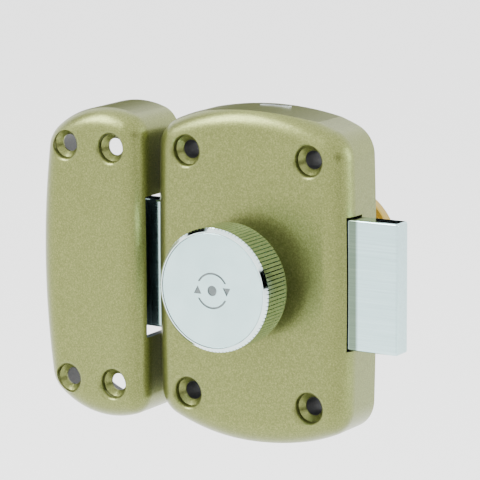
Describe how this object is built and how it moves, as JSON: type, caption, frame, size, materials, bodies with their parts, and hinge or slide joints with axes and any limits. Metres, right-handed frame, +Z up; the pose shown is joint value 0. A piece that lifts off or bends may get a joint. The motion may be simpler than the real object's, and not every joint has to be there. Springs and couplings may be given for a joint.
{
  "type": "rim night latch",
  "caption": "Surface-mounted door latch: arched bronze case with a knurled turn knob, a flat through bolt, a round key cylinder behind and a box keeper.",
  "frame": {"origin": "on the knob axis, at the centre of the four case fixing holes, in the plane where the case rests on the door", "axes": "+X right as seen from the knob side, away from the keeper; +Y into the door; +Z up"},
  "size_m": [0.147, 0.0974, 0.1222],
  "materials": {
    "bronze_lacquer": "satin champagne-bronze metallic lacquer on zinc die casting, fine speckle",
    "bright_chrome": "polished chrome plate",
    "satin_chrome": "satin chrome plate",
    "brushed_bolt_steel": "steel brushed along the bolt, nickel plated",
    "zinc_steel": "bright zinc plated sheet and screws",
    "turned_steel": "machined steel",
    "spring_steel": "oiled spring steel",
    "brass": "machined brass",
    "gold_brass": "smooth satin gold-coloured brass"
  },
  "bodies": {
    "case": {"case_cover": "bronze_lacquer", "back_plate": "zinc_steel", "back_plate_screws": "zinc_steel", "spindle_bush": "brass", "detent_spring": "spring_steel", "detent_screw": "zinc_steel", "keeper_box": "bronze_lacquer", "cylinder_body": "brass", "chamber_cover": "brass", "cylinder_rosette": "gold_brass", "cylinder_screws": "zinc_steel", "driver_pin_1": "turned_steel", "driver_pin_2": "turned_steel", "driver_pin_3": "turned_steel", "driver_pin_4": "turned_steel", "driver_pin_5": "turned_steel", "pin_spring_1": "spring_steel", "pin_spring_2": "spring_steel", "pin_spring_3": "spring_steel", "pin_spring_4": "spring_steel", "pin_spring_5": "spring_steel"},
    "knob": {"knob_body": "bright_chrome", "knob_face": "satin_chrome", "knob_screw": "zinc_steel", "spindle": "turned_steel", "thrust_washer": "zinc_steel", "spindle_clip": "spring_steel", "drive_pinion": "turned_steel"},
    "bolt": {"bolt": "brushed_bolt_steel"},
    "plug": {"cylinder_plug": "brass", "plug_clip": "spring_steel", "coupler_guide": "brass", "coupler_spring": "spring_steel", "key_pin_1": "brass", "key_pin_2": "brass", "key_pin_3": "brass", "key_pin_4": "brass", "key_pin_5": "brass"},
    "coupler": {"coupler": "turned_steel", "coupler_clip": "spring_steel"}
  },
  "joints": [
    {"name": "knob_turn", "type": "hinge", "parent": "case", "child": "knob", "pos_m": [0, 0, 0], "axis": [0, -1, 0], "range_deg": [0, 180]},
    {"name": "bolt_slide", "type": "slide", "parent": "case", "child": "bolt", "axis": [1, 0, 0], "range_m": [0, 0.02121], "deforming": ["detent_spring"]},
    {"name": "plug_turn", "type": "hinge", "parent": "case", "child": "plug", "pos_m": [0, 0, 0], "axis": [0, 1, 0], "continuous": true},
    {"name": "coupler_slide", "type": "slide", "parent": "plug", "child": "coupler", "axis": [0, -1, 0], "range_m": [0, 0.003], "stiffness_N_per_m": 300, "springref_m": -0.002, "deforming": ["coupler_spring"]}
  ],
  "couplings": [
    {"joint": "bolt_slide", "follows": "knob_turn", "m_per_rad": 0.00675}
  ]
}
